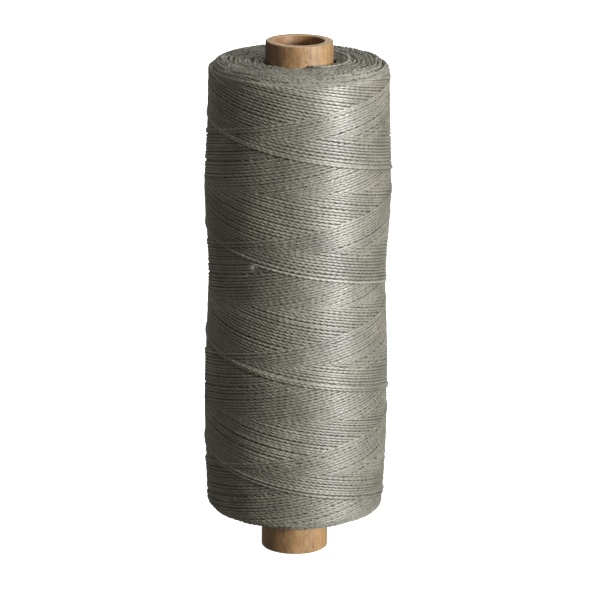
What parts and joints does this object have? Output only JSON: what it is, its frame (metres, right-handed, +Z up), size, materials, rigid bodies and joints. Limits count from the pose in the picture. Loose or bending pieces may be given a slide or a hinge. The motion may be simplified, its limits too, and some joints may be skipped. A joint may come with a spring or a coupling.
{
  "type": "waxed thread spool",
  "caption": "Rolled cardboard tube, open right through, carrying a straight-sided cross-wound package of grey waxed thread with both tube ends bare.",
  "frame": {"origin": "centre of the tube's foot, where the spool stands", "axes": "+Z up the tube's axis from the foot to the upper rim; -Y faces the viewer, with the face ply's seam a little to that side's left"},
  "size_m": [0.0536, 0.0536, 0.15],
  "materials": {
    "kraft_board": "matte",
    "core_board": "matte",
    "waxed_thread": "satin"
  },
  "bodies": {
    "root": {"liner_ply": "kraft_board", "inner_core_ply": "core_board", "middle_core_ply": "core_board", "outer_core_ply": "core_board", "face_ply": "kraft_board", "starting_turns": "waxed_thread", "inner_winding": "waxed_thread", "middle_winding": "waxed_thread", "outer_winding": "waxed_thread", "slipped_turn": "waxed_thread", "finishing_end": "waxed_thread"}
  },
  "joints": []
}
